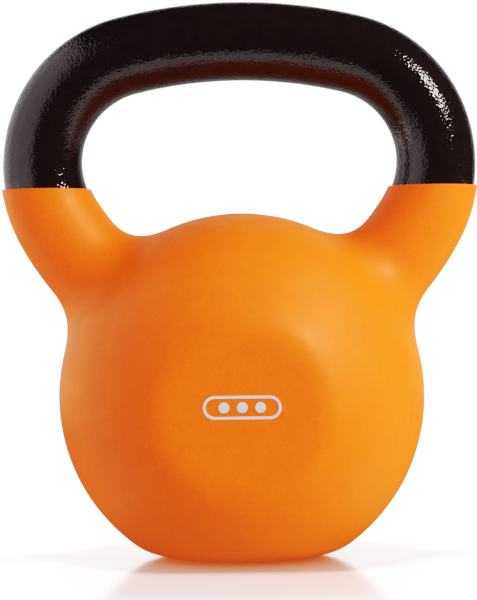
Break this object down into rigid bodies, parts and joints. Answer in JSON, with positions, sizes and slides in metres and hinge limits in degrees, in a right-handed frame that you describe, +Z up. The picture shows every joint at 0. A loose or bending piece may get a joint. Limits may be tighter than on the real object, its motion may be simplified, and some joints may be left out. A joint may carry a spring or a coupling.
{
  "type": "kettlebell",
  "caption": "Weight with a round ball, two splayed horns and a thick closed grip for two hands; matt jacket on the ball and horns, enamelled grip, flat base and flat front and back discs.",
  "frame": {"origin": "centre of the flat base, on the floor", "axes": "+Z up, +X along the grip to the right as seen from the front, and the printed front disc faces -Y"},
  "size_m": [0.2352, 0.1654, 0.2739],
  "materials": {
    "casting": "bare grey iron, shot-blasted, hidden under the coatings",
    "enamel": "gloss black enamel over sand-cast texture",
    "jacket": "matt orange neoprene with a very fine grain",
    "ink": "matt pale grey printed ink"
  },
  "bodies": {
    "root": {"iron_casting": "casting", "handle_enamel": "enamel", "neoprene_jacket": "jacket", "weight_badge": "ink"}
  },
  "joints": []
}
